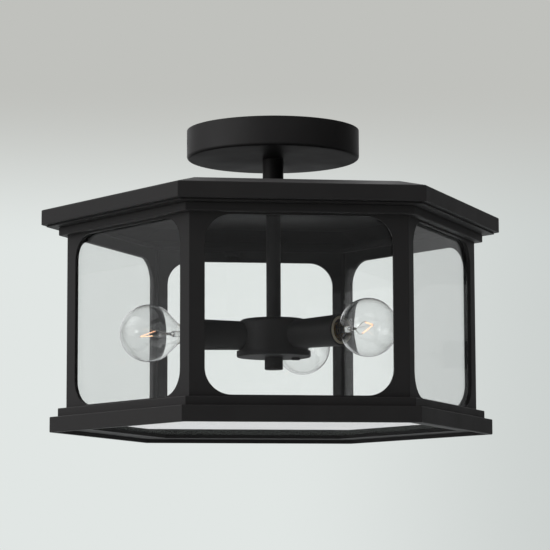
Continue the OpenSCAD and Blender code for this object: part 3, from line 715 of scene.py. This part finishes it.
def filament_pieces(number):
    lamp = lamps[number]
    turn = radians(V_TURN[number])
    stem_tip = lamp["globe_x"] - STEM_SHORT_MM * MM
    ends_x, point_x = lamp["globe_x"] - V_BACK_MM * MM, lamp["globe_x"] + V_FRONT_MM * MM
    gap, half = LEAD_GAP_MM * MM / 2, V_WIDTH_MM * MM / 2
    droop = V_DROOP_MM[number] * MM

    def at(x, across, lift=0.0):
        """A point in the plane of the V, or lift above it."""
        return Vector((x, across * cos(turn) - lift * sin(turn),
                       across * sin(turn) + lift * cos(turn)))

    mesh = bmesh.new()
    for side in (-1, 1):
        tube_along(mesh, rounded_path([
            Vector((stem_tip - 3 * MM, side * gap, 0)),
            Vector((stem_tip + 1.5 * MM, side * gap, 0)),
            at(ends_x - 2.5 * MM, side * half),
            at(ends_x + 0.9 * MM, side * half),
            at(ends_x + 1.4 * MM, side * (half - 0.9 * MM)),
            at(ends_x + 0.4 * MM, side * (half - 1.3 * MM))]), LEAD_R_MM * MM)
    # the support: a wire from the glass button to the point of the V, ending in a small hook
    tube_along(mesh, rounded_path([
        at(stem_tip - 1 * MM, 0),
        at(point_x - 2 * MM, 0, droop + 0.3 * MM),
        at(point_x + 0.9 * MM, 0, droop + 0.6 * MM),
        at(point_x + 0.9 * MM, 0, droop - 0.7 * MM),
        at(point_x - 0.3 * MM, 0, droop - 0.7 * MM)]), SUPPORT_R_MM * MM)
    leads = finish_piece(f"lead_wires_{number}", mesh, nickel_wire, number)
    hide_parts(f"filament_{number}")

    leg = Vector((point_x - ends_x, half, 0)).length
    points = round(leg / (COIL_TURN_MM * MM)) * POINTS_PER_TURN
    path = []
    for side in (-1, 1):
        foot = at(ends_x + 0.8 * MM, side * (half - 0.7 * MM))    # in the hook of a lead
        tip = at(point_x, side * 0.25 * MM, droop)
        start, end = (foot, tip) if side < 0 else (tip, foot)
        across = at(0, 0, 1).normalized()
        over = (end - start).normalized().cross(across)
        for k in range(points + 1):
            angle = 2 * pi * k / POINTS_PER_TURN
            path.append(start.lerp(end, k / points)
                        + (across * cos(angle) + over * sin(angle)) * COIL_R_MM * MM)
    mesh = bmesh.new()
    tube_along(mesh, path, COIL_WIRE_R_MM * MM, sides=6)
    coil = finish_piece(f"filament_coil_{number}", mesh, tungsten, number)

    mesh = bmesh.new()
    button = arc(stem_tip + 0.6 * MM, BUTTON_R_MM * MM, 0, pi, 10)
    button[0], button[-1] = (button[0][0], 0), (button[-1][0], 0)
    skin_over_rings(mesh, button, 24)
    knob = finish_piece(f"stem_button_{number}", mesh, blown_glass, number)
    return [leads, coil, knob]


filaments = [piece for number in lamps for piece in filament_pieces(number)]
print("filament pieces:", len(filaments), "coils of", len(filaments[1].data.polygons), "faces")

# %% [markdown]
# ## Room and light
#
# The lantern hangs in a porch, with a white ceiling over it and pale walls
# behind. A world shader lights it softly from there. Each lobe is a direction
# with a strength and a width. A wide one from the left draws the highlight down
# the canopy's side, and a narrow one is the window that the globes mirror.
# Straight behind the camera the room is dark, and that matters most: the front
# pane mirrors it, and so the black metal inside still looks black. An even
# white world would be simpler, but it would lay a grey veil over every pane.
# An area lamp could stand at the left, but from the right it would show
# through the panes as a white square.
#
# The camera sees a plain pale wall instead of the lobes, a shade darker to the
# right and towards the ceiling. It sees the same wall through the glass. Two
# panes swallow and mirror away some of its light, so there the wall gets a
# little more strength, and looks nearly as pale as it does past the lantern.

# %% World light
WALL_LIT, WALL_SHADED, CEILING_SHADE = "#e1e6e4", "#ccd1cf", "#c0c1bd"
SHADE_RIGHT = (0.13, 0.27)    # from the lit wall to the shaded, as the ray's X
SHADE_UP = (0.13, 0.20)       # from the wall to the ceiling's shade, as the ray's Z
THROUGH_GLASS = 1.15          # strength of the wall seen through panes
LOBES = (                     # direction that the light comes from, strength, how narrow
    ((0.0, 0.0, 1.0), 0.22, 1.5),           # ceiling
    ((0.0, -0.75, 0.66), 0.62, 8.0),        # ceiling over the camera
    ((-0.75, 0.0, 0.66), 1.90, 8.0),        # ceiling at the open left side
    ((0.0, 1.0, 0.3), 1.15, 4.0),           # wall behind the lantern
    ((-0.97, -0.24, -0.05), 1.50, 14.0),    # wide soft light from the left
    ((-0.79, -0.61, 0.05), 3.6, 120.0),     # window, front left
)


def wall_seen(tree, direction, strength):
    """Plain pale wall, shaded from left to right and towards the ceiling."""
    axes = add(tree, "SeparateXYZ", {"Vector": direction})
    rightwards = add(tree, "MapRange", {"Value": axes.outputs["X"], "From Min": SHADE_RIGHT[0],
                                        "From Max": SHADE_RIGHT[1]},
                     interpolation_type="SMOOTHSTEP")
    upwards = add(tree, "MapRange", {"Value": axes.outputs["Z"], "From Min": SHADE_UP[0],
                                     "From Max": SHADE_UP[1]}, interpolation_type="SMOOTHSTEP")
    wall = add(tree, "Mix", {"Factor": rightwards.outputs["Result"], "A": linear(WALL_LIT),
                             "B": linear(WALL_SHADED)}, data_type="RGBA")
    above = add(tree, "Mix", {"Factor": upwards.outputs["Result"], "A": wall.outputs["Result"],
                              "B": linear(CEILING_SHADE)}, data_type="RGBA")
    return add(tree, "Background", {"Color": above.outputs["Result"],
                                    "Strength": strength}).outputs["Background"]


def light_the_room():
    world = bpy.data.worlds.new("pale_porch")
    bpy.context.scene.world = world
    world.use_nodes = True
    tree = world.node_tree
    tree.nodes.clear()
    direction = add(tree, "TexCoord").outputs["Generated"]
    total = 0.0
    for toward, strength, narrow in LOBES:
        facing = add(tree, "VectorMath", {0: direction, 1: Vector(toward).normalized()},
                     operation="DOT_PRODUCT")
        kept = add(tree, "Math", {0: facing.outputs["Value"], 1: 0.0}, operation="MAXIMUM")
        shaped = add(tree, "Math", {0: kept.outputs["Value"], 1: narrow}, operation="POWER")
        total = add(tree, "Math", {0: shaped.outputs["Value"], 1: strength, 2: total},
                    operation="MULTIPLY_ADD").outputs["Value"]
    soft = add(tree, "Background", {"Color": linear("#fdfeff"), "Strength": total})
    # the wall shows to a camera ray, and to one that has only passed through glass
    path = add(tree, "LightPath")
    in_glass = path.outputs["Is Transmission Ray"]
    bounces = add(tree, "Math", {0: path.outputs["Diffuse Depth"],
                                 1: path.outputs["Glossy Depth"]}, operation="ADD")
    straight = add(tree, "Math", {0: bounces.outputs["Value"], 1: 0.5}, operation="LESS_THAN")
    through = add(tree, "Math", {0: in_glass, 1: straight.outputs["Value"]}, operation="MULTIPLY")
    seen = add(tree, "Math", {0: path.outputs["Is Camera Ray"], 1: through.outputs["Value"]},
               operation="MAXIMUM")
    brighter = add(tree, "Math", {0: in_glass, 1: THROUGH_GLASS - 1, 2: 1.0},
                   operation="MULTIPLY_ADD")
    wall = wall_seen(tree, direction, brighter.outputs["Value"])
    mixed = add(tree, "MixShader", {0: seen.outputs["Value"], 1: soft.outputs["Background"],
                                    2: wall})
    add(tree, "OutputWorld", {"Surface": mixed.outputs["Shader"]})
    return world


room = light_the_room()
print("world", room.name, "with", len(LOBES), "lobes of light")

# %% [markdown]
# ## Floor
#
# A porch floor lies about 3 m below the ceiling. It is a plain pale slab
# that sends light back up under the lid. One face does it. A square would show a
# slanting edge from some sides, so it is a disc, whose far edge is level from
# everywhere. It ends where the bottom glass, at its grazing angle, should mirror
# the bright wall and no floor.

# %% Floor
FLOOR_Z = -3.05
FLOOR_RADIUS = 15.0
FLOOR_SIDES = 96
FLOOR_CLOUD_MM = 400     # slow changes of shade that the trowel leaves


def pale_floor():
    material, tree = new_material("pale_trowelled_concrete")
    place = add(tree, "TexCoord").outputs["Object"]
    cloud = add(tree, "TexNoise", {"Vector": place, "Scale": per_metre(FLOOR_CLOUD_MM),
                                   "Detail": 3.0})
    colour = add(tree, "Mix", {"Factor": cloud.outputs["Fac"], "A": linear("#dfe3e2"),
                               "B": linear("#e5e9e8")}, data_type="RGBA")
    slab = add(tree, "BsdfPrincipled", {"Base Color": colour.outputs["Result"],
                                        "Roughness": 0.8, "Specular IOR Level": 0.2})
    finish_material(tree, slab.outputs["BSDF"])
    mesh = bmesh.new()
    angles = [2 * pi * k / FLOOR_SIDES for k in range(FLOOR_SIDES)]
    mesh.faces.new([mesh.verts.new((cos(a) * FLOOR_RADIUS, sin(a) * FLOOR_RADIUS, FLOOR_Z))
                    for a in angles])
    data = bpy.data.meshes.new("floor")
    mesh.to_mesh(data)
    mesh.free()
    data.materials.append(material)
    floor = bpy.data.objects.new("floor", data)
    bpy.context.scene.collection.objects.link(floor)
    return floor


floor = pale_floor()
print(floor.name, "at", FLOOR_Z, "m")

# %% [markdown]
# ## Camera
#
# The camera stands about 2.1 m from the lantern, 38 cm below the ceiling and a
# little to the left of a flat side, and looks slightly up. Its lens comes from
# how fast the photographed lantern gets smaller towards its back. A constraint
# could aim it, but three turns, one after the other, say plainly what it does.

# %% Camera
CAMERA_TURN = 7.86       # degrees to the left of the flat side's middle
CAMERA_AIM = 0.04        # degrees that it looks to the right of the lantern's axis
CAMERA_RISE = 6.97       # degrees that it looks upwards
CAMERA_ROLL = -0.18
CAMERA_AWAY = 2.091      # metres from the lantern's axis
CAMERA_Z = -0.3835
LENS_MM = 157.0
SENSOR_MM = 36


def photo_camera():
    data = bpy.data.cameras.new("photo_camera")
    data.sensor_width = SENSOR_MM
    data.lens = LENS_MM
    data.clip_start = 0.01
    camera = bpy.data.objects.new("photo_camera", data)
    turn = radians(CAMERA_TURN)
    stand = Matrix.Translation((-sin(turn) * CAMERA_AWAY, -cos(turn) * CAMERA_AWAY, CAMERA_Z))
    spin = (Matrix.Rotation(radians(-CAMERA_TURN - CAMERA_AIM), 4, "Z")
            @ Matrix.Rotation(radians(90 + CAMERA_RISE), 4, "X")
            @ Matrix.Rotation(radians(CAMERA_ROLL), 4, "Z"))
    camera.matrix_world = stand @ spin
    bpy.context.scene.collection.objects.link(camera)
    bpy.context.scene.camera = camera
    return camera


camera = photo_camera()
bpy.context.scene.view_settings.view_transform = "Standard"
print(camera.name, CAMERA_AWAY, "m away, lens", LENS_MM, "mm")
